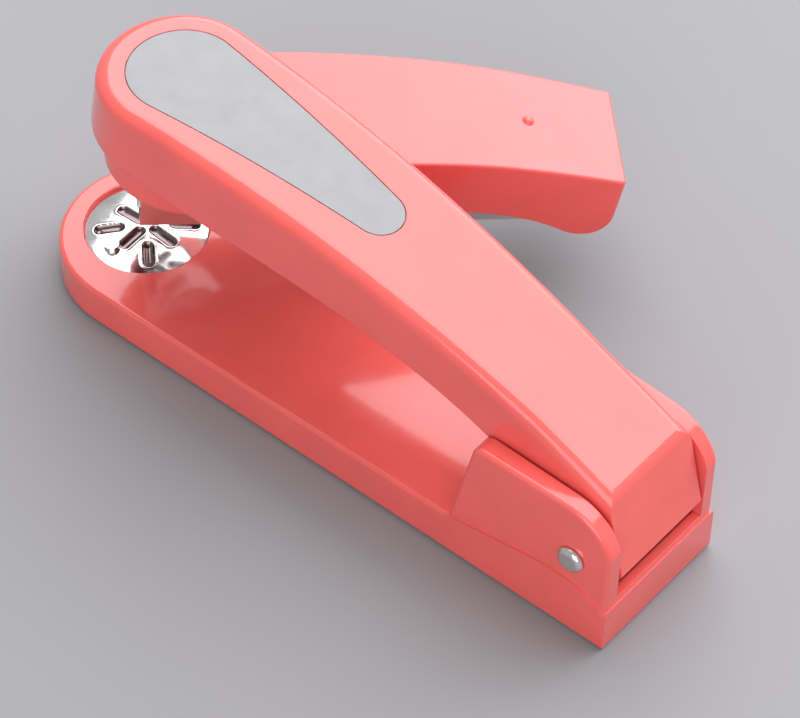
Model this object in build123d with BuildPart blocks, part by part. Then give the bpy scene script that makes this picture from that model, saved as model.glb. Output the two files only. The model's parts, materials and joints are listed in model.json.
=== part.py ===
"""Desk stapler with a swivelling magazine arm, in millimetres.

The base lies flat on Z = 0 with its nose at -X and its hinge at +X. Nested frames carry the
moving parts, and each part is drawn in the frame that it moves with, as it lies when the
handle is pressed down:

* base frame: the frame of the whole stapler;
* handle frame: the same, turned about the hinge as the handle is raised;
* carrier frame: the same, carried by the handle's nose but always level;
* arm frame: X along the arm from the swivel axis, Z = 0 at the table when the arm is level.

The rest pose has the handle raised, the arm swung out and drooping, and the magazine hanging
from its heel pin.
"""
from build123d import *
from math import sqrt
import os

os.makedirs("parts", exist_ok=True)

# ---------------------------------------------------------------- driving dimensions
base_length = 160.0
base_nose_radius = 21.4
base_rear_half_width = 17.9
base_nose_height = 9.67
base_rear_height = 11.88
foot_height = 0.6
wall = 2.0

ear_gap = 27.7
ear_inset = 0.4
ear_height = 37.4
hinge_x = 70.5
hinge_z = 22.5
hinge_radius = 2.0
running_fit = 0.05

handle_nose_x = -54.5
handle_nose_radius = 17.7
handle_rear_half_width = 13.0
handle_taper_end = 50.0
handle_bend_radius = 80.0
handle_wall = 1.8
crown_radius = 292.4
crown_center_x = -9.4
crown_center_z = -241.2

swivel_x = -61.7
carrier_pin_z = 36.5
arm_head_radius = 16.5
arm_head_x = 6.9
arm_length = 99.8
arm_wall = 1.7
arm_half_widths = [(28.0, 17.1), (56.0, 15.8), (80.0, 14.6), (arm_length, 13.8)]

magazine_half_width = 8.0
magazine_bottom = 11.1
magazine_top = 20.8
sheet = 0.8

staple_crown = 12.7
staple_leg = 6.0
staple_wire = 0.5
strip_length = 25.0

# rest pose, in degrees
handle_open = 8.8
arm_turn = 46.0
arm_droop = 10.6
magazine_open = 7.0

# ---------------------------------------------------------------- places worked out from them
half_length = base_length / 2
base_nose_x = base_nose_radius - half_length
base_slope = (base_rear_height - base_nose_height) / base_length
anvil_radius = 13.8
anvil_thickness = 1.2
arm_pitch_x = 7.0
arm_pitch_z = 22.5
heel_x = 88.0
heel_z = 17.3


standing = (Align.CENTER, Align.CENTER, Align.MIN)


def base_top(x):
    """Height of the sloping base top at x."""
    return base_nose_height + base_slope * (x + half_length)


def turned(center, angle):
    """Turn by angle degrees about the Y line through a location."""
    return center * Rotation(0, angle, 0) * center.inverse()


hinge = Location((hinge_x, 0, hinge_z))
raised = turned(hinge, handle_open)
carried = raised * turned(Location((swivel_x, 0, carrier_pin_z)), -handle_open)
swung = carried * Location((swivel_x, 0, 0)) * Rotation(0, 0, arm_turn)
drooped = swung * turned(Location((arm_pitch_x, 0, arm_pitch_z)), arm_droop)
hanging = drooped * turned(Location((heel_x, 0, heel_z)), -magazine_open)
in_place = Location()

anvil_plane = Plane(
    origin=(swivel_x, 0, base_top(swivel_x)),
    x_dir=(1, 0, base_slope),
    z_dir=(-base_slope, 0, 1),
)


def write(piece, label, pose):
    """Label a finished piece, move it to its rest pose and write its file."""
    piece.part.label = label
    export_step(pose * piece.part, f"parts/{label}.step")


def tapered_outline(nose_x, nose_radius, end_x, end_half_width):
    """Round-nosed plan that narrows in straight lines to a flat end."""
    sliver = 0.1
    with BuildSketch() as outline:
        with Locations((nose_x, 0)):
            Circle(nose_radius)
        with Locations((end_x - sliver / 2, 0)):
            Rectangle(sliver, 2 * end_half_width)
        make_hull()
    return outline.sketch


def base_outline(inset):
    """Plan of the base, drawn in from its outer edge."""
    return tapered_outline(
        base_nose_x, base_nose_radius - inset, half_length - inset, base_rear_half_width - inset
    )


def handle_outline(inset):
    """Plan of the handle: it narrows from the nose to the ears, then runs straight."""
    half_width = handle_rear_half_width - inset
    with BuildSketch() as outline:
        add(tapered_outline(handle_nose_x, handle_nose_radius - inset, handle_taper_end, half_width))
        with Locations((handle_taper_end, 0)):
            Rectangle(half_length, 2 * half_width, align=(Align.MIN, Align.CENTER))
        bends = outline.vertices().filter_by(lambda v: abs(v.X - handle_taper_end) < 1)
        fillet(bends, handle_bend_radius)
    return outline.sketch


def arm_outline(inset):
    """Plan of the arm: round at the head, then narrowing in a soft curve to the heel."""
    radius = arm_head_radius - inset
    last_x, last_half_width = arm_half_widths[-1]
    end = (last_x - inset, last_half_width - inset)
    with BuildSketch() as outline:
        with BuildLine():
            ThreePointArc((arm_head_x, radius), (arm_head_x - radius, 0), (arm_head_x, -radius))
            for side in (-1, 1):
                places = [(x, side * (half_width - inset)) for x, half_width in arm_half_widths[:-1]]
                Spline((arm_head_x, side * radius), *places, (end[0], side * end[1]))
            Line((end[0], -end[1]), end)
        make_face()
    return outline.sketch


def coil(radius, wire, length, turns):
    """Round-wire compression spring standing on XY, with its axis along Z."""
    path = Helix(pitch=(length - wire) / turns, height=length - wire, radius=radius)
    section = Plane(origin=path @ 0, z_dir=path % 0)
    with BuildPart() as spring:
        with BuildSketch(section):
            Circle(wire / 2)
        sweep(path=path)
    return Location((0, 0, wire / 2)) * spring.part


# ================================================================ base
ear_front_x = 39.5
ear_lean = 5.4
ear_rear_round = 12.0
ear_front_round = 3.0
rear_wall = 2.4
rear_wall_height = 13.5
skirt_points = [(39.0, base_top(39.0)), (48.0, 12.6), (58.0, 14.5), (70.0, 15.2), (80.0, 9.8)]
screw_places = [(-36.0, 12.0), (-36.0, -12.0), (34.0, 11.5), (34.0, -11.5)]
rib_places = [-20.0, 8.0, 60.0]
boss_radius = 3.2
screw_radius = 1.05
cover_top = 2.2
disc_recess = anvil_thickness + 0.05
peg_radius = 1.5
peg_angle = -100.0
peg_orbit = 9.6
stud_radius = 2.5

with BuildPart() as ears:
    with BuildSketch(Plane.XZ) as ear_side:
        with BuildLine():
            Polyline(
                (ear_front_x - 0.5, 4.0),
                (ear_front_x, base_top(ear_front_x)),
                (ear_front_x + ear_lean, ear_height),
                (half_length, ear_height),
                (half_length, 4.0),
                close=True,
            )
        make_face()
        front, rear = ear_side.vertices().group_by(Axis.Y)[-1].sort_by(Axis.X)
        fillet(rear, ear_rear_round)
        front = ear_side.vertices().group_by(Axis.Y)[-1].sort_by(Axis.X)[0]
        fillet(front, ear_front_round)
    extrude(amount=base_nose_radius, both=True)
    extrude(base_outline(ear_inset), amount=ear_height + 1, mode=Mode.INTERSECT)
    rim = ears.edges().filter_by(lambda e: e.center().Z > base_rear_height + 1 and abs(e.center().Y) > 16)
    fillet(rim, 1.0)

with BuildPart() as skirt:
    extrude(base_outline(0), amount=ear_height)
    with BuildSketch(Plane.XZ):
        with BuildLine():
            Spline(*skirt_points)
            Polyline(
                skirt_points[-1],
                (half_length, foot_height),
                (skirt_points[0][0], foot_height),
                skirt_points[0],
            )
        make_face()
    extrude(amount=base_nose_radius, both=True, mode=Mode.INTERSECT)

with BuildPart() as base_shell:
    extrude(base_outline(0), amount=ear_height)
    with BuildSketch(Plane.XZ):
        with BuildLine():
            Polyline(
                (-half_length, foot_height),
                (half_length, foot_height),
                (half_length, base_rear_height),
                (-half_length, base_nose_height),
                close=True,
            )
        make_face()
    extrude(amount=base_nose_radius + 1, both=True, mode=Mode.INTERSECT)
    top_face = base_shell.faces().sort_by(Axis.Z)[-1]
    fillet(top_face.edges().filter_by(lambda e: e.center().X < half_length - 1), 0.9)
    add(skirt.part)
    add(ears.part)
    with BuildSketch(Plane.XZ):
        with BuildLine():
            Polyline(
                (ear_front_x - 8, base_top(ear_front_x - 8)),
                (half_length - rear_wall, base_top(half_length - rear_wall)),
                (half_length - rear_wall, rear_wall_height),
                (half_length + 2, rear_wall_height),
                (half_length + 2, ear_height + 1),
                (ear_front_x - 8, ear_height + 1),
                close=True,
            )
        make_face()
    extrude(amount=ear_gap / 2, both=True, mode=Mode.SUBTRACT)

with BuildPart(mode=Mode.PRIVATE) as hollow:
    extrude(base_outline(wall + 0.2), amount=base_rear_height)
    with BuildSketch(Plane.XZ):
        with BuildLine():
            Polyline(
                (-half_length, 0),
                (half_length, 0),
                (half_length, base_top(half_length) - wall),
                (-half_length, base_top(-half_length) - wall),
                close=True,
            )
        make_face()
    extrude(amount=base_nose_radius, both=True, mode=Mode.INTERSECT)

with base_shell:
    add(hollow.part, mode=Mode.SUBTRACT)
    # screw bosses, cross ribs and the block that carries the anvil
    for x, y in screw_places:
        with Locations((x, y, cover_top)):
            Cylinder(boss_radius, base_top(x) - cover_top - 1, align=standing)
            Cylinder(screw_radius, 5.5, align=standing, mode=Mode.SUBTRACT)
    for x in rib_places:
        with Locations((x, 0, cover_top)):
            Box(1.4, 2 * base_rear_half_width - 1, base_top(x) - cover_top - 1, align=standing)
    with Locations((swivel_x, 0, cover_top)):
        Cylinder(anvil_radius - 3, base_top(swivel_x) - cover_top - 1, align=standing)
    # anvil recess with its locating peg, and the hole for the anvil stud
    with BuildSketch(anvil_plane) as recess:
        Circle(anvil_radius + 0.15)
        with PolarLocations(peg_orbit, 1, start_angle=peg_angle):
            Circle(peg_radius, mode=Mode.SUBTRACT)
    extrude(amount=-disc_recess, mode=Mode.SUBTRACT)
    with BuildSketch(anvil_plane.offset(-0.35)):
        with PolarLocations(peg_orbit, 1, start_angle=peg_angle):
            Circle(peg_radius + 0.5)
    extrude(amount=2, mode=Mode.SUBTRACT)
    with BuildSketch(anvil_plane):
        Circle(stud_radius + 0.1)
    extrude(amount=-2 * base_rear_height, mode=Mode.SUBTRACT)
    with BuildSketch(anvil_plane.offset(-base_nose_height)):
        Circle(anvil_radius - 5)
    extrude(amount=base_nose_height - 3.6, mode=Mode.SUBTRACT)
    # hinge holes through both ears
    with BuildSketch(Plane.XZ):
        with Locations((hinge_x, hinge_z)):
            Circle(hinge_radius + running_fit)
    extrude(amount=base_nose_radius, both=True, mode=Mode.SUBTRACT)
write(base_shell, "base_shell", in_place)

# the cover plate closes the base from below, and an anti-slip pad is glued to it
plate_thickness = 1.4
plate_bottom = cover_top - plate_thickness
glue = 0.02

with BuildPart() as base_cover:
    with BuildSketch(Plane.XY.offset(plate_bottom)):
        add(base_outline(wall + 0.3))
    extrude(amount=plate_thickness)
    with Locations(*[Location((x, y, plate_bottom), (180, 0, 0)) for x, y in screw_places]):
        CounterSinkHole(radius=1.3, counter_sink_radius=2.4, depth=plate_thickness)
write(base_cover, "base_cover", in_place)

with BuildPart() as rubber_pad:
    with BuildSketch():
        add(base_outline(wall + 1.0))
        with Locations(*screw_places):
            Circle(3.2, mode=Mode.SUBTRACT)
    extrude(amount=plate_bottom - glue)
write(rubber_pad, "rubber_pad", in_place)


def screw(head_radius, head_height, shank_radius, length, flat_head=False):
    """Screw with a cross recess: a flat head ends on Z = 0, a round head stands on it."""
    top = 0 if flat_head else head_height
    with BuildPart() as body:
        with BuildSketch():
            Circle(shank_radius)
        extrude(amount=-length)
        if flat_head:
            with Locations((0, 0, -head_height / 2)):
                Cone(shank_radius, head_radius, head_height)
        else:
            with BuildSketch():
                Circle(head_radius)
            extrude(amount=head_height)
            fillet(body.edges().group_by(Axis.Z)[-1], 0.6 * head_height)
        for turn in (0, 90):
            with Locations(Location((0, 0, top), (0, 0, turn))):
                Box(1.1 * head_radius, 0.28 * head_radius, 1.2 * head_height, mode=Mode.SUBTRACT)
    return body.part


with BuildPart() as base_screws:
    under = screw(2.25, 1.15, screw_radius - 0.05, 5.4, flat_head=True)
    for x, y in screw_places:
        add(Location((x, y, plate_bottom + 0.1), (180, 0, 0)) * under)
write(base_screws, "base_screws", in_place)

# ================================================================ anvil
groove_width = 2.7
inner_groove = (1.1, 8.4)
outer_groove = (4.9, 11.6)
groove_depth = 0.6


def grooves(reach, count, first_angle):
    """Round-ended grooves that point at the middle of the anvil."""
    inner, outer = reach
    with BuildSketch(anvil_plane) as rays:
        with PolarLocations((inner + outer) / 2, count, start_angle=first_angle):
            SlotOverall(outer - inner, groove_width)
    return rays.sketch


with BuildPart() as anvil_disc:
    with BuildSketch(anvil_plane) as disc_face:
        Circle(anvil_radius)
        with PolarLocations(peg_orbit, 1, start_angle=peg_angle):
            Circle(peg_radius + 0.12, mode=Mode.SUBTRACT)
    extrude(amount=-anvil_thickness)
    extrude(grooves(inner_groove, 4, 0), amount=-groove_depth, taper=30, mode=Mode.SUBTRACT)
    extrude(grooves(outer_groove, 4, 45), amount=-groove_depth, taper=30, mode=Mode.SUBTRACT)
    with BuildSketch(anvil_plane.offset(-anvil_thickness)):
        Circle(stud_radius)
    extrude(amount=-(base_nose_height - anvil_thickness - 3.4))
write(anvil_disc, "anvil_disc", in_place)

clip_top = 3.55 - base_nose_height
with BuildPart() as anvil_clip:
    with BuildSketch(anvil_plane.offset(clip_top)):
        Circle(6.5)
        Circle(stud_radius, mode=Mode.SUBTRACT)
        with PolarLocations(stud_radius + 0.6, 4):
            Rectangle(1.4, 0.5, mode=Mode.SUBTRACT)
    extrude(amount=-0.6)
write(anvil_clip, "anvil_clip", in_place)

# ================================================================ hinge
ear_outer = 17.9
pin_head_radius = 3.1
pin_head_height = 1.3

with BuildPart() as hinge_pin:
    with BuildSketch(Plane.XZ):
        with Locations((hinge_x, hinge_z)):
            Circle(hinge_radius)
    extrude(amount=ear_outer, both=True)
    for side in (-1, 1):
        with BuildSketch(Plane.XZ.offset(side * ear_outer)):
            with Locations((hinge_x, hinge_z)):
                Circle(pin_head_radius)
        extrude(amount=side * pin_head_height)
    domes = hinge_pin.edges().filter_by(GeomType.CIRCLE)
    fillet(domes.filter_by(lambda e: abs(e.center().Y) > ear_outer + 1), 1.2)
write(hinge_pin, "hinge_pin", in_place)

# ================================================================ handle
handle_floor_line = [
    (-84.0, 30.95),
    (-55.0, 31.0),
    (-33.0, 32.2),
    (-13.0, 34.3),
    (7.0, 35.6),
    (27.6, 34.7),
    (42.0, 32.0),
    (52.0, 28.5),
    (62.0, 20.0),
]
handle_rear_low = (80.1, 21.0)
handle_rear_high = (71.9, 40.4)


def side_profile(inset):
    """Side view of the handle, drawn in from its outer edge and open below when inset."""
    low_x, low_z = handle_rear_low
    high_x, high_z = handle_rear_high
    with BuildSketch(Plane.XZ) as profile:
        with BuildLine():
            Line((-84.0, 30.95), (-84.0, 60.0))
            Line((-84.0, 60.0), (high_x - inset, 60.0))
            Line((high_x - inset, 60.0), (high_x - inset, high_z))
            Line((high_x - inset, high_z), (low_x - inset, low_z))
            ThreePointArc((low_x - inset, low_z), (71.0, 14.3), (62.0, 20.0))
            Spline(*handle_floor_line[1:])
            Line(handle_floor_line[1], handle_floor_line[0])
        make_face()
        with Locations((crown_center_x, crown_center_z)):
            Circle(crown_radius - inset, mode=Mode.INTERSECT)
    return profile.sketch


def crown_band(low, high):
    """Side view of a layer under the crown, between two depths."""
    with BuildSketch(Plane.XZ) as band:
        with Locations((crown_center_x, crown_center_z)):
            Circle(crown_radius - high)
            Circle(crown_radius - low, mode=Mode.SUBTRACT)
    return band.sketch


def crown_height(x):
    """Height of the handle's crown at x."""
    return crown_center_z + sqrt(crown_radius**2 - (x - crown_center_x) ** 2)


grip_tail_x = -1.3
grip_tail_radius = 5.7
grip_nose_x = -54.2
grip_nose_radius = 12.1
grip_depth = 1.0


def grip_outline(inset):
    """Drop-shaped plan of the grip."""
    with BuildSketch() as drop:
        with Locations((grip_nose_x, 0)):
            Circle(grip_nose_radius - inset)
        with Locations((grip_tail_x, 0)):
            Circle(grip_tail_radius - inset)
        make_hull()
    return drop.sketch


with BuildPart() as handle_shell:
    extrude(handle_outline(0), amount=70)
    extrude(side_profile(0), amount=30, both=True, mode=Mode.INTERSECT)
    crown = handle_shell.faces().filter_by(GeomType.CYLINDER).sort_by(Axis.Z)[-1]
    fillet(crown.edges(), 3.0)

with BuildPart() as handle_hollow:
    extrude(handle_outline(handle_wall), amount=70)
    with BuildSketch(Plane.XZ):
        with BuildLine():
            Polyline(
                (-84.0, 0.0),
                (handle_rear_low[0] - handle_wall, 0.0),
                (handle_rear_low[0] - handle_wall, handle_rear_low[1]),
                (handle_rear_high[0] - handle_wall, handle_rear_high[1]),
                (handle_rear_high[0] - handle_wall, 60.0),
                (-84.0, 60.0),
                close=True,
            )
        make_face()
        with Locations((crown_center_x, crown_center_z)):
            Circle(crown_radius - handle_wall, mode=Mode.INTERSECT)
    extrude(amount=30, both=True, mode=Mode.INTERSECT)

with BuildPart() as grip_recess:
    extrude(grip_outline(0), amount=70)
    extrude(crown_band(grip_depth + 0.02, -5), amount=30, both=True, mode=Mode.INTERSECT)

with BuildPart() as grip_insert:
    extrude(grip_outline(0.22), amount=70)
    extrude(crown_band(grip_depth, 0.0), amount=30, both=True, mode=Mode.INTERSECT)
write(grip_insert, "grip_insert", raised)

# ---------------------------------------------------------------- steel frame inside the handle
frame_sheet = 1.2
frame_half_width = 10.4
plate_low = 36.0
plate_high = plate_low + frame_sheet
plate_front_x = -51.5
plate_rear_x = 40.0
flange_front_x = -65.2
flange_low = 33.8
flange_line = [(flange_front_x, 39.4), (-57.0, 41.0), (28.0, 42.0), (60.0, 37.0)]
bush_radius = 3.0
flange_end = hinge_x + 3.0
flange_end_reach = 5.8
trunnion_radius = 1.2
frame_screw_places = [-37.0, 30.0]
frame_screw_radius = 1.2

with BuildPart() as handle_frame:
    # side flanges from the nose to the hinge
    with BuildSketch(Plane.XZ.offset(frame_half_width - frame_sheet)):
        with BuildLine():
            Polyline(*flange_line, (flange_end, hinge_z + flange_end_reach))
            ThreePointArc(
                (flange_end, hinge_z + flange_end_reach),
                (flange_end, hinge_z - flange_end_reach),
                (hinge_x - 6.4, hinge_z - 1.4),
            )
            Polyline(
                (hinge_x - 6.4, hinge_z - 1.4),
                (53.0, 32.0),
                (plate_rear_x, plate_low),
                (plate_front_x, plate_low),
                (plate_front_x - 5.0, flange_low),
                (flange_front_x, flange_low),
                flange_line[0],
            )
        make_face()
        with Locations((swivel_x, carrier_pin_z)):
            Circle(trunnion_radius + running_fit, mode=Mode.SUBTRACT)
        with Locations((hinge_x, hinge_z)):
            Circle(bush_radius + 0.01, mode=Mode.SUBTRACT)
    extrude(amount=frame_sheet)
    mirror(about=Plane.XZ)
    # top plate that joins them
    with BuildSketch(Plane.XY.offset(plate_low)):
        with Locations(((plate_front_x + plate_rear_x) / 2, 0)):
            Rectangle(plate_rear_x - plate_front_x, 2 * frame_half_width)
        with Locations(*[(x, 0) for x in frame_screw_places]):
            Circle(frame_screw_radius + 0.1, mode=Mode.SUBTRACT)
        with Locations((-10.0, 0)):
            SlotOverall(24, 9, mode=Mode.SUBTRACT)
    extrude(amount=frame_sheet)
write(handle_frame, "handle_frame", raised)

with BuildPart() as hinge_bushes:
    with BuildSketch(Plane.XZ.offset(frame_half_width - 2.0)):
        with Locations((hinge_x, hinge_z)):
            Circle(bush_radius + 1.2)
    extrude(amount=0.75)
    with BuildSketch(Plane.XZ.offset(frame_half_width - 2.0)):
        with Locations((hinge_x, hinge_z)):
            Circle(bush_radius)
    extrude(amount=2.3)
    mirror(about=Plane.XZ)
    with BuildSketch(Plane.XZ):
        with Locations((hinge_x, hinge_z)):
            Circle(hinge_radius + running_fit)
    extrude(amount=20, both=True, mode=Mode.SUBTRACT)
write(hinge_bushes, "hinge_bushes", raised)

with handle_shell:
    add(handle_hollow.part, mode=Mode.SUBTRACT)
    add(grip_recess.part, mode=Mode.SUBTRACT)
    for x in frame_screw_places:
        with Locations((x, 0, plate_high)):
            Cylinder(3.0, crown_height(x) - 1.4 - plate_high, align=standing)
            Cylinder(frame_screw_radius - 0.05, 7.0, align=standing, mode=Mode.SUBTRACT)
    with BuildSketch(Plane.XZ):
        with Locations((hinge_x, hinge_z)):
            Circle(hinge_radius + 0.12)
    extrude(amount=20, both=True, mode=Mode.SUBTRACT)
write(handle_shell, "handle_shell", raised)

with BuildPart() as frame_screws:
    round_head = screw(2.5, 1.1, frame_screw_radius - 0.1, 7.5)
    for x in frame_screw_places:
        add(Location((x, 0, plate_low), (180, 0, 0)) * round_head)
write(frame_screws, "frame_screws", raised)

# ================================================================ return spring of the handle
spring_radius = 3.9
spring_wire = 1.0
spring_turns = 6
spring_width = 9.0


def wire(start, end, radius):
    """Straight round wire between two points."""
    direction = Vector(*end) - Vector(*start)
    with BuildPart() as length_of_wire:
        with BuildSketch(Plane(origin=start, z_dir=direction)):
            Circle(radius)
        extrude(amount=direction.length)
    return length_of_wire.part


with BuildPart() as handle_spring:
    wound = coil(spring_radius, spring_wire, spring_width, spring_turns)
    add(Location((hinge_x, spring_width / 2, hinge_z), (90, 0, 0)) * wound)
    end_y = spring_width / 2 - spring_wire / 2
    add(wire((hinge_x + spring_radius, end_y, hinge_z), (hinge_x + spring_radius, end_y, 13.2), spring_wire / 2))
    add(wire((hinge_x + spring_radius, -end_y, hinge_z), (hinge_x - 3.0, -end_y, 30.5), spring_wire / 2))
    add(wire((hinge_x - 3.0, -end_y, 30.5), (38.0, -end_y, 39.4), spring_wire / 2))
write(handle_spring, "handle_spring", in_place)

# ================================================================ carrier that stays level
carrier_low = carrier_pin_z - 1.25
carrier_high = carrier_pin_z + 1.25
carrier_radius = 7.0
carrier_shoulder = frame_half_width - frame_sheet - 0.1
neck_radius = 3.0
detent_orbit = 5.0
detent_count = 8
detent_depth = 1.0

with BuildPart() as swivel_carrier:
    with BuildSketch(Plane.XY.offset(carrier_low)):
        with Locations((swivel_x, 0)):
            Circle(carrier_radius)
            Rectangle(5.0, 2 * carrier_shoulder)
            Circle(neck_radius + running_fit, mode=Mode.SUBTRACT)
    extrude(amount=carrier_high - carrier_low)
    with BuildSketch(Plane.XY.offset(carrier_low)):
        with Locations((swivel_x, 0)):
            with PolarLocations(detent_orbit, detent_count):
                Circle(1.15)
    extrude(amount=detent_depth, mode=Mode.SUBTRACT)
    with BuildSketch(Plane.XZ.offset(carrier_shoulder)):
        with Locations((swivel_x, carrier_pin_z)):
            Circle(trunnion_radius)
    extrude(amount=frame_sheet + 0.3)
    mirror(about=Plane.XZ)
write(swivel_carrier, "swivel_carrier", carried)

# ================================================================ swivel turret
yoke_low = 24.6
yoke_high = 25.6
yoke_half_width = 10.2
yoke_front_x = -3.4
yoke_rear_x = 17.0
cheek_low = 19.6
pitch_pin_radius = 1.5
post_hole_radius = 2.5
post_foot_radius = 3.2
post_flange_top = carrier_low - 0.45
post_flange_low = post_flange_top - 0.8
washer_low = carrier_high + 0.05
washer_high = washer_low + 0.6
rivet_low = washer_high + 0.05

with BuildPart() as swivel_post:
    with BuildSketch(Plane.XZ):
        with BuildLine():
            Polyline(
                (0, yoke_low - 0.6),
                (post_foot_radius, yoke_low - 0.6),
                (post_foot_radius, yoke_low),
                (post_hole_radius, yoke_low),
                (post_hole_radius, yoke_high),
                (neck_radius, yoke_high),
                (neck_radius, post_flange_low),
                (carrier_radius, post_flange_low),
                (carrier_radius, post_flange_top),
                (neck_radius, post_flange_top),
                (neck_radius, rivet_low),
                (4.6, rivet_low),
                (4.2, rivet_low + 0.9),
                (0, rivet_low + 1.2),
                close=True,
            )
        make_face()
    revolve(axis=Axis.Z)
write(swivel_post, "swivel_post", swung)

with BuildPart() as swivel_yoke:
    with BuildSketch(Plane.XY.offset(yoke_low)):
        with Locations(((yoke_front_x + yoke_rear_x) / 2, 0)):
            RectangleRounded(yoke_rear_x - yoke_front_x, 2 * yoke_half_width, 2.0)
        Circle(post_hole_radius + 0.05, mode=Mode.SUBTRACT)
    extrude(amount=yoke_high - yoke_low)
    with BuildSketch(Plane.XZ.offset(yoke_half_width - frame_sheet)):
        with Locations((arm_pitch_x, (cheek_low + yoke_high) / 2)):
            Rectangle(9.0, yoke_high - cheek_low)
        with Locations((arm_pitch_x, arm_pitch_z)):
            Circle(pitch_pin_radius + running_fit, mode=Mode.SUBTRACT)
    extrude(amount=frame_sheet)
    mirror(about=Plane.XZ)
write(swivel_yoke, "swivel_yoke", swung)

detent_washer_low = post_flange_top + 0.05
with BuildPart() as detent_washer:
    with BuildSketch(Plane.XY.offset(detent_washer_low)):
        Circle(carrier_radius - 0.2)
        Circle(neck_radius + 0.2, mode=Mode.SUBTRACT)
    extrude(amount=0.3)
    with Locations((detent_orbit, 0, detent_washer_low + 0.15), (-detent_orbit, 0, detent_washer_low + 0.15)):
        Sphere(0.9)
    with Locations((0, 0, detent_washer_low)):
        Cylinder(2 * detent_orbit, 3, align=(Align.CENTER, Align.CENTER, Align.MAX), mode=Mode.SUBTRACT)
write(detent_washer, "detent_washer", swung)

with BuildPart() as swivel_washer:
    with BuildSketch(Plane.XY.offset(washer_low)):
        Circle(carrier_radius - 0.5)
        Circle(neck_radius + running_fit, mode=Mode.SUBTRACT)
    extrude(amount=washer_high - washer_low)
write(swivel_washer, "swivel_washer", swung)

shelf_x = 14.2
shelf_half = 2.2
shelf_low = 21.6
shelf_high = 22.4
spring_foot = 21.5
with BuildPart() as levelling_spring:
    add(Location((shelf_x, 0, spring_foot)) * coil(1.7, 0.4, yoke_low - 0.05 - spring_foot, 4))
write(levelling_spring, "levelling_spring", swung)

# ================================================================ arm
arm_underside = 13.6
skirt_height = 18.7
arm_front_x = -14.0
arm_front_height = 28.0
arm_top = [(8.0, 28.8), (28.0, 30.9), (42.0, 32.3), (56.0, 33.1), (70.0, 33.0), (84.0, 31.7), (101.0, 29.3)]
head_rear_x = 17.0
skirt_front_x = 26.0
heel_curve = [(68.0, skirt_height), (78.5, 17.6), (83.6, 16.3), (88.4, 14.4), (93.2, 13.2)]
heel_end = [(93.2, 13.2), (98.0, 15.4), (arm_length, 21.0)]
nub_x = 79.0
nub_height = 31.8
nub_radius = 1.4
heel_pin_radius = 1.5
blade_flange = 21.1
blade_sheet = 0.6
blade_screw_x = -5.8
blade_screw_radius = 0.7
magazine_seat_x = 66.0
magazine_seat_z = 30.4
pin_half_length = 13.3


def arm_side():
    """Side view of the arm cover's outside."""
    with BuildSketch(Plane.XZ) as profile:
        with BuildLine():
            Polyline(
                (arm_front_x, arm_front_height),
                (arm_front_x, arm_underside),
                (head_rear_x, arm_underside),
            )
            Spline((head_rear_x, arm_underside), (skirt_front_x, skirt_height), tangents=((1, 0), (1, 0)))
            Line((skirt_front_x, skirt_height), heel_curve[0])
            Spline(*heel_curve, tangents=((1, 0), (1, 0)))
            Spline(*heel_end, tangents=((1, 0), (0, 1)))
            Line(heel_end[-1], arm_top[-1])
            Spline(*arm_top)
            Line(arm_top[0], (arm_front_x, arm_front_height))
        make_face()
    return profile.sketch


def arm_inside():
    """Side view of the space inside the arm cover, open below."""
    roof = [(x, z - arm_wall) for x, z in arm_top[:-1]]
    roof.append((arm_top[-1][0], arm_top[-1][1] - arm_wall))
    with BuildSketch(Plane.XZ) as profile:
        with BuildLine():
            Polyline(
                roof[0],
                (arm_front_x, arm_front_height - arm_wall),
                (arm_front_x, 0.0),
                (arm_length, 0.0),
                roof[-1],
            )
            Spline(*roof)
        make_face()
    return profile.sketch


with BuildPart() as arm_inner_blocks:
    # bosses for the pitch pin, the shelf of the levelling spring and the seat of the magazine spring
    with BuildSketch(Plane.XZ):
        with Locations((arm_pitch_x, arm_pitch_z)):
            Circle(3.4)
    extrude(amount=arm_head_radius, both=True)
    with BuildSketch(Plane.XZ):
        with Locations((arm_pitch_x, arm_pitch_z)):
            Circle(3.5)
    extrude(amount=yoke_half_width + 0.3, both=True, mode=Mode.SUBTRACT)
    with Locations((shelf_x, 0, shelf_low)):
        Box(2 * shelf_half, 2 * arm_head_radius, shelf_high - shelf_low, align=standing)
    with Locations((blade_screw_x, 0, blade_flange + blade_sheet + 0.05)):
        Cylinder(1.25, arm_front_height - 1 - blade_flange - blade_sheet, align=standing)
        Cylinder(blade_screw_radius + 0.05, 3.4, align=standing, mode=Mode.SUBTRACT)
    with Locations((magazine_seat_x, 0, magazine_seat_z)):
        Cylinder(2.0, 2.0, align=standing)
    extrude(arm_outline(arm_wall / 2), amount=40, mode=Mode.INTERSECT)

with BuildPart() as arm_hollow:
    extrude(arm_outline(arm_wall), amount=45)
    extrude(arm_inside(), amount=20, both=True, mode=Mode.INTERSECT)

with BuildPart() as arm_body:
    extrude(arm_outline(0), amount=45)
    fillet(arm_body.edges().filter_by(Axis.Z).filter_by(lambda e: e.center().X > arm_length - 1), 1.2)
    extrude(arm_side(), amount=20, both=True, mode=Mode.INTERSECT)

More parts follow.
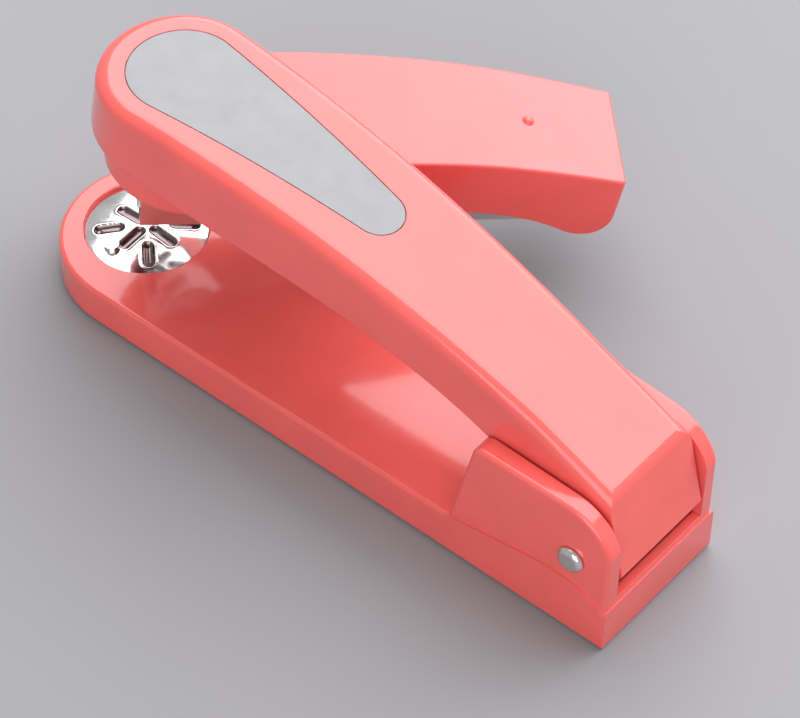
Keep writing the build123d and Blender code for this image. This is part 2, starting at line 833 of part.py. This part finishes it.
with BuildPart() as arm_cover:
    add(arm_body.part)
    top_rim = arm_cover.edges().filter_by(lambda e: e.center().Z > arm_front_height and e.length > 3)
    fillet(top_rim, 0.7)
    add(arm_hollow.part, mode=Mode.SUBTRACT)
    add(arm_inner_blocks.part)
    with BuildSketch(Plane.XY.offset(25.0)):
        Circle(5.4)
    extrude(amount=10, mode=Mode.SUBTRACT)
    with BuildSketch(Plane.XZ):
        with Locations((arm_pitch_x, arm_pitch_z)):
            Circle(pitch_pin_radius + 0.01)
    extrude(amount=pin_half_length + 0.1, both=True, mode=Mode.SUBTRACT)
    with BuildSketch(Plane.XZ):
        with Locations((heel_x, heel_z)):
            Circle(heel_pin_radius + 0.01)
    extrude(amount=pin_half_length + 0.1, both=True, mode=Mode.SUBTRACT)
    with Locations((nub_x, 0, nub_height)):
        Sphere(nub_radius)
write(arm_cover, "arm_cover", drooped)

with BuildPart() as heel_cap:
    extrude(arm_outline(arm_wall + 0.05), amount=19.5)
    extrude(arm_side(), amount=20, both=True, mode=Mode.INTERSECT)
    with BuildSketch():
        with Locations((arm_length - 2.6, 0)):
            Rectangle(3.5, 40)
    extrude(amount=20, mode=Mode.INTERSECT)
write(heel_cap, "heel_cap", drooped)

with BuildPart() as pitch_pin:
    with BuildSketch(Plane.XZ):
        with Locations((arm_pitch_x, arm_pitch_z)):
            Circle(pitch_pin_radius)
    extrude(amount=pin_half_length, both=True)
    chamfer(pitch_pin.edges().filter_by(GeomType.CIRCLE), 0.3)
write(pitch_pin, "pitch_pin", drooped)

with BuildPart() as heel_pin:
    with BuildSketch(Plane.XZ):
        with Locations((heel_x, heel_z)):
            Circle(heel_pin_radius)
    extrude(amount=pin_half_length, both=True)
    chamfer(heel_pin.edges().filter_by(GeomType.CIRCLE), 0.3)
write(heel_pin, "heel_pin", drooped)

blade_front = -0.55
blade_rear = 0.05
blade_tip = 11.4
blade_top = blade_flange + blade_sheet
blade_flange_front = -7.2
with BuildPart() as driver_blade:
    with BuildSketch(Plane.YZ.offset(blade_front)):
        with Locations((0, (blade_tip + blade_top) / 2)):
            Rectangle(staple_crown + 0.1, blade_top - blade_tip)
    extrude(amount=blade_rear - blade_front)
    with BuildSketch(Plane.XY.offset(blade_flange)):
        with Locations((blade_flange_front / 2, 0)):
            RectangleRounded(-blade_flange_front, 7.0, 1.2)
        with Locations((blade_screw_x, 0)):
            Circle(blade_screw_radius + 0.05, mode=Mode.SUBTRACT)
    extrude(amount=blade_sheet)
write(driver_blade, "driver_blade", drooped)

with BuildPart() as driver_screw:
    add(Location((blade_screw_x, 0, blade_flange), (180, 0, 0)) * screw(1.3, 0.7, blade_screw_radius, 3.6))
write(driver_screw, "driver_screw", drooped)

with BuildPart() as magazine_spring:
    add(Location((magazine_seat_x, 0, magazine_top - 2.2)) * coil(3.0, 0.6, 12.4, 6))
write(magazine_spring, "magazine_spring", drooped)

# ================================================================ magazine
channel_length = 82.0
tail_radius = 6.0
exit_rear = 1.2
bridge_front = 61.0
rail_half_width = staple_crown / 2 - staple_wire - 0.1
rail_top = 17.4
rail_sheet = 0.7
crown_low = rail_top + 0.05
rod_height = 18.75
rod_radius = 0.7
end_plate_x = 80.0
strip_front = 0.35

with BuildPart() as magazine_channel:
    with BuildSketch(Plane.YZ.offset(-1.0)):
        with Locations((0, (magazine_bottom + magazine_top) / 2)):
            Rectangle(2 * magazine_half_width, magazine_top - magazine_bottom)
        with Locations((0, (magazine_bottom + magazine_top) / 2 + sheet)):
            Rectangle(2 * (magazine_half_width - sheet), magazine_top - magazine_bottom, mode=Mode.SUBTRACT)
    extrude(amount=channel_length + 1.0)
    with Locations(((bridge_front + channel_length) / 2, 0, magazine_top - sheet)):
        Box(channel_length - bridge_front, 2 * magazine_half_width, sheet, align=standing)
    with BuildSketch(Plane.XY.offset(magazine_bottom)):
        with Locations(((exit_rear - 1.0) / 2, 0)):
            Rectangle(exit_rear + 1.0, 2 * (magazine_half_width - sheet))
    extrude(amount=sheet, mode=Mode.SUBTRACT)

    # rounded cheeks that turn on the heel pin
    with BuildSketch(Plane.XZ.offset(magazine_half_width - sheet)):
        with Locations((heel_x, heel_z)):
            Circle(tail_radius)
        with Locations(((channel_length + heel_x) / 2 - 1, heel_z)):
            Rectangle(heel_x - channel_length + 2, 2 * tail_radius)
        with Locations((heel_x, heel_z)):
            Circle(heel_pin_radius + running_fit, mode=Mode.SUBTRACT)
    extrude(amount=sheet)
    mirror(about=Plane.XZ)
write(magazine_channel, "magazine_channel", hanging)

with BuildPart() as magazine_nose:
    with BuildSketch(Plane.YZ.offset(-1.8)):
        with Locations((0, magazine_bottom + 4.0)):
            Rectangle(2 * magazine_half_width, 8.0)
        with Locations((0, magazine_bottom + 8.0)):
            Rectangle(9.0, 3.0)
    extrude(amount=sheet)
    fillet(magazine_nose.edges().filter_by(Axis.X).group_by(Axis.Z)[-1], 1.2)
write(magazine_nose, "magazine_nose", hanging)

with BuildPart() as staple_rail:
    with BuildSketch(Plane.YZ.offset(strip_front)):
        with Locations((0, (magazine_bottom + sheet + rail_top) / 2)):
            Rectangle(2 * rail_half_width, rail_top - magazine_bottom - sheet)
        with Locations((0, (magazine_bottom + sheet + rail_top) / 2 - rail_sheet)):
            Rectangle(
                2 * (rail_half_width - rail_sheet), rail_top - magazine_bottom - sheet, mode=Mode.SUBTRACT
            )
    extrude(amount=end_plate_x - 0.5 - strip_front)
write(staple_rail, "staple_rail", hanging)

with BuildPart() as staple_strip:
    with BuildSketch(Plane.YZ.offset(strip_front)):
        with Locations((0, crown_low + staple_wire - staple_leg / 2)):
            Rectangle(staple_crown, staple_leg)
        with Locations((0, crown_low + staple_wire - staple_leg / 2 - staple_wire)):
            Rectangle(staple_crown - 2 * staple_wire, staple_leg, mode=Mode.SUBTRACT)
    extrude(amount=strip_length)
write(staple_strip, "staple_strip", hanging)

follower_x = strip_front + strip_length + 0.1
follower_length = 9.0
with BuildPart() as staple_follower:
    with BuildSketch(Plane.YZ.offset(follower_x)):
        with Locations((0, 16.2)):
            Rectangle(13.2, 8.0)
        with Locations((0, crown_low + 0.1 - 5)):
            Rectangle(2 * rail_half_width + 0.2, 10.0, mode=Mode.SUBTRACT)
        with Locations((0, rod_height)):
            Circle(rod_radius + 0.08, mode=Mode.SUBTRACT)
    extrude(amount=follower_length)
write(staple_follower, "staple_follower", hanging)

with BuildPart() as follower_rod:
    with BuildSketch(Plane.YZ.offset(3.0)):
        with Locations((0, rod_height)):
            Circle(rod_radius)
    extrude(amount=end_plate_x + sheet + 0.4 - 3.0)
write(follower_rod, "follower_rod", hanging)

with BuildPart() as follower_spring:
    reach = end_plate_x - follower_x - follower_length - 0.1
    add(Location((follower_x + follower_length + 0.05, 0, rod_height), (0, 90, 0)) * coil(1.0, 0.3, reach, 26))
write(follower_spring, "follower_spring", hanging)

with BuildPart() as magazine_end_plate:
    with BuildSketch(Plane.YZ.offset(end_plate_x)):
        with Locations((0, 15.95)):
            Rectangle(2 * (magazine_half_width - sheet), 8.0)
        with Locations((0, rod_height)):
            Circle(rod_radius + 0.01, mode=Mode.SUBTRACT)
    extrude(amount=sheet)
write(magazine_end_plate, "magazine_end_plate", hanging)
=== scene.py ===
"""Looks of the desk stapler: its plastics and metals, the floor, the light and the camera.

Lengths are in metres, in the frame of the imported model. Only the stamped anvil is drawn in
millimetres, about its own middle, and it is brought to metres when it is put in its place.
"""
import json
import math

import bmesh
import bpy
from mathutils import Matrix, Vector


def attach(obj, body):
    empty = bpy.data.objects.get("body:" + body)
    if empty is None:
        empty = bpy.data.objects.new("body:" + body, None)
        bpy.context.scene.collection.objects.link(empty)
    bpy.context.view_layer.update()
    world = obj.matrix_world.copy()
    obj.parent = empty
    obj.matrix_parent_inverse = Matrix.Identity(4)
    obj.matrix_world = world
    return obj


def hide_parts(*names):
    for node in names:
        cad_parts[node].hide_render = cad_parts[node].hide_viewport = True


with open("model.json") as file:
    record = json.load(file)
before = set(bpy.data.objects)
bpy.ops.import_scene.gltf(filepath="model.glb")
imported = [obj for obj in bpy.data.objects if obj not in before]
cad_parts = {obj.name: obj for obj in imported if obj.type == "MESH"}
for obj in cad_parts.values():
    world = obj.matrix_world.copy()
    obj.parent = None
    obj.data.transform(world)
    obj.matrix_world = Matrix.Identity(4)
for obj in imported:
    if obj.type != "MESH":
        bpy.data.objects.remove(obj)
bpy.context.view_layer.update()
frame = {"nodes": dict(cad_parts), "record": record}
nodes = frame["nodes"]
MM = 0.001


# ---------------------------------------------------------------- shader helpers
def start_material(name):
    """New material with an empty node tree, its shader already joined to the output."""
    material = bpy.data.materials.new(name)
    material.use_nodes = True
    tree = material.node_tree
    tree.nodes.clear()
    output = tree.nodes.new("ShaderNodeOutputMaterial")
    shader = tree.nodes.new("ShaderNodeBsdfPrincipled")
    tree.links.new(shader.outputs["BSDF"], output.inputs["Surface"])
    return material, tree, shader


def noise(tree, size, detail=3.0, roughness=0.5, stretch=(1, 1, 1)):
    """Noise whose features are about size metres across, stretched along the object's axes."""
    place = tree.nodes.new("ShaderNodeTexCoord")
    scale = tree.nodes.new("ShaderNodeMapping")
    scale.inputs["Scale"].default_value = [1 / (size * s) for s in stretch]
    cloud = tree.nodes.new("ShaderNodeTexNoise")
    cloud.inputs["Scale"].default_value = 1.0
    cloud.inputs["Detail"].default_value = detail
    cloud.inputs["Roughness"].default_value = roughness
    tree.links.new(place.outputs["Object"], scale.inputs["Vector"])
    tree.links.new(scale.outputs["Vector"], cloud.inputs["Vector"])
    return cloud.outputs["Fac"]


def spread(tree, value, low, high, source=(0.35, 0.65)):
    """Stretch a 0 to 1 value to run from low to high."""
    ranger = tree.nodes.new("ShaderNodeMapRange")
    ranger.inputs["From Min"].default_value = source[0]
    ranger.inputs["From Max"].default_value = source[1]
    ranger.inputs["To Min"].default_value = low
    ranger.inputs["To Max"].default_value = high
    tree.links.new(value, ranger.inputs["Value"])
    return ranger.outputs["Result"]


# sockets of a mix node set to colours, which share their names with its number sockets
mix_factor = 0
mix_first_color = 6
mix_second_color = 7
mix_result_color = 2


def blend_colors(tree, factor, first, second):
    """Mix two plain colours by a factor."""
    mixer = tree.nodes.new("ShaderNodeMix")
    mixer.data_type = "RGBA"
    mixer.inputs[mix_first_color].default_value = (*first, 1)
    mixer.inputs[mix_second_color].default_value = (*second, 1)
    tree.links.new(factor, mixer.inputs[mix_factor])
    return mixer.outputs[mix_result_color]


def rounded_normal(tree, radius):
    """Normal that rounds sharp edges off by a small radius."""
    bevel = tree.nodes.new("ShaderNodeBevel")
    bevel.samples = 6
    bevel.inputs["Radius"].default_value = radius
    return bevel.outputs["Normal"]


def bumped(tree, shader, height, distance, strength=1.0, edge=0.0):
    """Bump from a height, on top of softly rounded edges."""
    bump = tree.nodes.new("ShaderNodeBump")
    bump.inputs["Strength"].default_value = strength
    bump.inputs["Distance"].default_value = distance
    tree.links.new(height, bump.inputs["Height"])
    if edge:
        tree.links.new(rounded_normal(tree, edge), bump.inputs["Normal"])
    tree.links.new(bump.outputs["Normal"], shader.inputs["Normal"])


# ---------------------------------------------------------------- materials
def glossy_plastic(name, color, roughness=0.12, edge=0.25 * MM):
    """Moulded glossy plastic: faint mottling, slight waviness and handling marks in the gloss."""
    material, tree, shader = start_material(name)
    darker = [c * 0.93 for c in color]
    mottle = spread(tree, noise(tree, 14 * MM, detail=4), 0.0, 1.0)
    tree.links.new(blend_colors(tree, mottle, color, darker), shader.inputs["Base Color"])
    marks = noise(tree, 3 * MM, detail=6, roughness=0.7, stretch=(6, 1, 1))
    gloss = spread(tree, marks, roughness * 0.8, roughness * 1.5)
    tree.links.new(gloss, shader.inputs["Roughness"])
    shader.inputs["IOR"].default_value = 1.5
    shader.inputs["Coat Weight"].default_value = 0.25
    shader.inputs["Coat Roughness"].default_value = 0.04
    shader.inputs["Subsurface Weight"].default_value = 0.06
    shader.inputs["Subsurface Radius"].default_value = (2.0, 0.6, 0.5)
    shader.inputs["Subsurface Scale"].default_value = 0.6 * MM
    peel = noise(tree, 1.6 * MM, detail=2)
    bumped(tree, shader, peel, distance=0.006 * MM, strength=0.5, edge=edge)
    return material


def matte_plastic(name, color, roughness=0.5, grain=0.25 * MM, depth=0.012 * MM):
    """Plastic with a fine sand-like grain."""
    material, tree, shader = start_material(name)
    lighter = [min(1.0, c * 1.06) for c in color]
    mottle = spread(tree, noise(tree, 9 * MM, detail=3), 0.0, 1.0)
    tree.links.new(blend_colors(tree, mottle, color, lighter), shader.inputs["Base Color"])
    gloss = spread(tree, noise(tree, 4 * MM), roughness * 0.9, roughness * 1.12)
    tree.links.new(gloss, shader.inputs["Roughness"])
    shader.inputs["IOR"].default_value = 1.46
    bumped(tree, shader, noise(tree, grain, detail=3), distance=depth, strength=0.8, edge=0.1 * MM)
    return material


def plated_metal(name, color, roughness=0.08, wear=1.6, edge=0.08 * MM):
    """Bright plating with fine wear and a little haze."""
    material, tree, shader = start_material(name)
    shader.inputs["Metallic"].default_value = 1.0
    dull = [c * 0.86 for c in color]
    haze = spread(tree, noise(tree, 6 * MM, detail=4), 0.0, 1.0)
    tree.links.new(blend_colors(tree, haze, color, dull), shader.inputs["Base Color"])
    gloss = spread(tree, noise(tree, 2 * MM, detail=5), roughness, roughness * wear)
    tree.links.new(gloss, shader.inputs["Roughness"])
    ripple = noise(tree, 0.9 * MM, detail=3)
    bumped(tree, shader, ripple, distance=0.003 * MM, strength=0.5, edge=edge)
    return material


def brushed_metal(name, color, roughness=0.3, stretch=(10, 1, 1), edge=0.06 * MM):
    """Rolled or drawn metal with fine lines along one axis."""
    material, tree, shader = start_material(name)
    shader.inputs["Metallic"].default_value = 1.0
    lines = noise(tree, 0.5 * MM, detail=4, roughness=0.6, stretch=stretch)
    dull = [c * 0.8 for c in color]
    shade = spread(tree, lines, 0.0, 1.0)
    tree.links.new(blend_colors(tree, shade, color, dull), shader.inputs["Base Color"])
    tree.links.new(spread(tree, lines, roughness * 0.8, roughness * 1.3), shader.inputs["Roughness"])
    bumped(tree, shader, lines, distance=0.006 * MM, strength=0.6, edge=edge)
    return material


def rubber(name, color):
    """Dull rubber with a pebbled surface."""
    material, tree, shader = start_material(name)
    dusty = [min(1.0, c * 1.8 + 0.01) for c in color]
    dust = spread(tree, noise(tree, 5 * MM, detail=5), 0.0, 1.0)
    tree.links.new(blend_colors(tree, dust, color, dusty), shader.inputs["Base Color"])
    tree.links.new(spread(tree, noise(tree, 2 * MM), 0.75, 0.9), shader.inputs["Roughness"])
    bumped(tree, shader, noise(tree, 0.5 * MM, detail=3), distance=0.05 * MM)
    return material


CORAL = (0.93, 0.135, 0.118)
materials = {
    "coral_plastic": glossy_plastic("coral_plastic_look", CORAL),
    "grey_grip": matte_plastic("grey_grip_look", (0.275, 0.279, 0.279)),
    "chrome_steel": plated_metal("chrome_steel_look", (0.86, 0.85, 0.84)),
    "steel": brushed_metal("steel_look", (0.62, 0.62, 0.62)),
    "spring_steel": brushed_metal("spring_steel_look", (0.42, 0.42, 0.43), 0.25, (1, 1, 1)),
    "staple_wire": brushed_metal("staple_wire_look", (0.72, 0.72, 0.73), 0.22, (1, 10, 1)),
    "dark_plastic": matte_plastic("dark_plastic_look", (0.02, 0.02, 0.022)),
    "rubber": rubber("rubber_look", (0.02, 0.02, 0.02)),
}
slot_of = {part["node"]: part["material_slot"] for part in frame["record"]["subparts"]}
for name, node in nodes.items():
    for index in range(len(node.material_slots)):
        node.material_slots[index].material = materials[slot_of[name]]


# ---------------------------------------------------------------- stamped anvil, in millimetres
# where the disc's middle lies in the model, and how much the base's top rises per unit of length
anvil_x = -61.7
anvil_z = 9.923
anvil_slope = 0.0138
anvil_radius = 13.8
anvil_thickness = 1.2
edge_radius = 0.5
disc_rings = 92
disc_spokes = 288

groove_count = 8
inner_groove = (2.4, 7.1)
outer_groove = (6.2, 10.3)
groove_half_width = 1.35
groove_depth = 0.9
# faces sunk more than this below the domed face get the painted groove shade
groove_shade_height = -0.10
lip_height = 0.10
lip_distance = 1.6
lip_width = 0.22
dome_radius = 70.0
dome_height = 0.40

stud_radius = 2.5
stud_low = -5.2
stud_high = -1.1
peg_hole_radius = 1.62
peg_hole_low = -2.0
peg_hole_high = 1.0
peg_orbit = 9.6
peg_angle = math.radians(-100)


def groove_lines():
    """Middle line of each stamped groove: four short inner ones, and four outer ones between them."""
    lines = []
    for count in range(groove_count):
        angle = math.radians(360 / groove_count * count)
        inner, outer = inner_groove if count % 2 == 0 else outer_groove
        ray = Vector((math.cos(angle), math.sin(angle)))
        lines.append((ray * inner, ray * outer))
    return lines


def domed_height(point):
    """Height of the slightly domed face before the grooves are stamped into it."""
    return dome_height - point.length_squared / (2 * dome_radius)


def stamped_height(point, lines):
    """Height of the face with its round-bottomed grooves, their raised lips and the rolled edge."""
    height = 0.0
    for start, end in lines:
        along = (point - start).dot(end - start) / (end - start).length_squared
        nearest = start + (end - start) * min(1.0, max(0.0, along))
        distance = (point - nearest).length
        if distance < groove_half_width:
            height = min(height, -groove_depth * math.sqrt(1 - (distance / groove_half_width) ** 2))
        elif height >= 0.0:
            lip = lip_height * math.exp(-(((distance - lip_distance) / lip_width) ** 2))
            height = max(height, lip)
    rolled = point.length - (anvil_radius - edge_radius)
    if rolled > 0.0:
        height -= edge_radius - math.sqrt(max(0.0, edge_radius**2 - rolled**2))
    return height + domed_height(point)


def stamped_loop(mesh, radius, lines):
    """One ring of points on the stamped face."""
    loop = []
    for spoke in range(disc_spokes):
        angle = 2 * math.pi * spoke / disc_spokes
        point = Vector((math.cos(angle), math.sin(angle))) * radius
        loop.append(mesh.verts.new((point.x, point.y, stamped_height(point, lines))))
    return loop


def lies_in_groove(point):
    """Whether a point of the disc is clearly below its domed face, the rolled edge left out."""
    sunk = point.z - domed_height(point.xy) < groove_shade_height
    return sunk and point.xy.length < anvil_radius - 2 * edge_radius


def anvil_mesh():
    """Closed disc with the stamped face on top. Its groove faces take the second material, a dark
    reddish plating that is painted shade in the grooves, tinted red like the body's reflection.
    """
    lines = groove_lines()
    mesh = bmesh.new()
    middle = mesh.verts.new((0, 0, stamped_height(Vector((0, 0)), lines)))
    radii = [anvil_radius * ring / disc_rings for ring in range(1, disc_rings + 1)]
    loops = [stamped_loop(mesh, radius, lines) for radius in radii]
    loops.append([mesh.verts.new((v.co.x, v.co.y, -anvil_thickness)) for v in loops[-1]])
    for spoke in range(disc_spokes):
        following = (spoke + 1) % disc_spokes
        mesh.faces.new((middle, loops[0][spoke], loops[0][following]))
        for inner, outer in zip(loops, loops[1:]):
            mesh.faces.new((inner[spoke], outer[spoke], outer[following], inner[following]))
    mesh.faces.new(list(reversed(loops[-1])))
    for face in mesh.faces:
        face.material_index = 1 if lies_in_groove(face.calc_center_median()) else 0
        face.smooth = True
    data = bpy.data.meshes.new("stamped_anvil")
    mesh.to_mesh(data)
    mesh.free()
    return data


def plain_cylinder(radius, low, high, place=(0, 0)):
    """Upright cylinder between two heights."""
    bpy.ops.mesh.primitive_cylinder_add(
        vertices=96, radius=radius, depth=high - low, location=(*place, (low + high) / 2)
    )
    return bpy.context.object


def combine(body, tool, operation):
    """Cut a tool out of a body or join it on, and remove the tool."""
    modifier = body.modifiers.new("combine", "BOOLEAN")
    modifier.operation = operation
    modifier.object = tool
    bpy.context.view_layer.objects.active = body
    bpy.ops.object.modifier_apply(modifier=modifier.name)
    bpy.data.objects.remove(tool)


anvil = bpy.data.objects.new("stamped_anvil", anvil_mesh())
anvil.data.materials.append(materials["chrome_steel"])
# second material: dark reddish plating on the groove faces, painted shade in the grooves tinted red
# like the body's reflection
anvil.data.materials.append(plated_metal("painted_groove_shade_look", (0.20, 0.15, 0.15), 0.14))
bpy.context.scene.collection.objects.link(anvil)
peg_place = (peg_orbit * math.cos(peg_angle), peg_orbit * math.sin(peg_angle))
peg_hole = plain_cylinder(peg_hole_radius, peg_hole_low, peg_hole_high, peg_place)
combine(anvil, peg_hole, "DIFFERENCE")
combine(anvil, plain_cylinder(stud_radius, stud_low, stud_high), "UNION")
tilt = Matrix.Rotation(-math.atan(anvil_slope), 4, "Y")
anvil.data.transform(Matrix.Scale(MM, 4) @ Matrix.Translation((anvil_x, 0, anvil_z)) @ tilt)
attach(anvil, "base")
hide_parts("anvil_disc")


# ---------------------------------------------------------------- floor, light and camera
def soft_light(name, direction, distance, size, radiance, target=(0, 0, 0.02)):
    """Square soft box that faces the stapler from a direction, with a given brightness."""
    lamp = bpy.data.lights.new(name, "AREA")
    lamp.shape = "SQUARE"
    lamp.size = size
    lamp.energy = radiance * math.pi * size**2
    lamp.color = (1.0, 0.99, 1.05)
    holder = bpy.data.objects.new(name, lamp)
    place = Vector(direction).normalized() * distance + Vector(target)
    holder.location = place
    holder.rotation_euler = (Vector(target) - place).to_track_quat("-Z", "Y").to_euler()
    bpy.context.scene.collection.objects.link(holder)


def floor_material():
    """Smooth grey paper with a barely visible tooth."""
    material, tree, shader = start_material("floor_look")
    shade = spread(tree, noise(tree, 250 * MM, detail=2), 0.0, 1.0)
    grey = blend_colors(tree, shade, (0.280, 0.283, 0.288), (0.290, 0.292, 0.296))
    tree.links.new(grey, shader.inputs["Base Color"])
    shader.inputs["Roughness"].default_value = 0.85
    shader.inputs["Specular IOR Level"].default_value = 0.25
    bumped(tree, shader, noise(tree, 0.8 * MM, detail=2), distance=0.02 * MM, strength=0.3)
    return material


bpy.ops.mesh.primitive_plane_add(size=8.0, location=(0, 0, 0))
floor = bpy.context.object
floor.name = "floor"
floor.data.materials.append(floor_material())

soft_light("key", direction=(-0.10, 0.62, 0.78), distance=1.3, size=2.0, radiance=3.4)
soft_light("front_fill", direction=(0.5, -0.8, 0.45), distance=1.5, size=1.2, radiance=2.4)

world = bpy.data.worlds.new("studio")
world.use_nodes = True
background = world.node_tree.nodes["Background"]
background.inputs["Color"].default_value = (1.0, 1.0, 1.0, 1)
background.inputs["Strength"].default_value = 0.48
bpy.context.scene.world = world
bpy.context.scene.view_settings.view_transform = "Standard"

# the camera looks down from the front right corner, through a long lens
view_azimuth = math.radians(39.17)
view_elevation = math.radians(49.73)
view_roll = math.radians(1.65)
view_distance = 0.80666
view_target = Vector((-0.00088, 0.01404, 0.0))
sensor_width = 36.0
focal_length = 168.44535

back = Vector((
    math.sin(view_azimuth) * math.cos(view_elevation),
    -math.cos(view_azimuth) * math.cos(view_elevation),
    math.sin(view_elevation),
))
level_right = Vector((math.cos(view_azimuth), math.sin(view_azimuth), 0))
level_up = back.cross(level_right)
right = level_right * math.cos(view_roll) + level_up * math.sin(view_roll)
up = level_up * math.cos(view_roll) - level_right * math.sin(view_roll)

camera_data = bpy.data.cameras.new("camera")
camera_data.sensor_width = sensor_width
camera_data.lens = focal_length
camera_data.clip_start = 0.01
camera = bpy.data.objects.new("camera", camera_data)
facing = Matrix((right, up, back)).transposed().to_4x4()
camera.matrix_world = Matrix.Translation(view_target + back * view_distance) @ facing
bpy.context.scene.collection.objects.link(camera)
bpy.context.scene.camera = camera
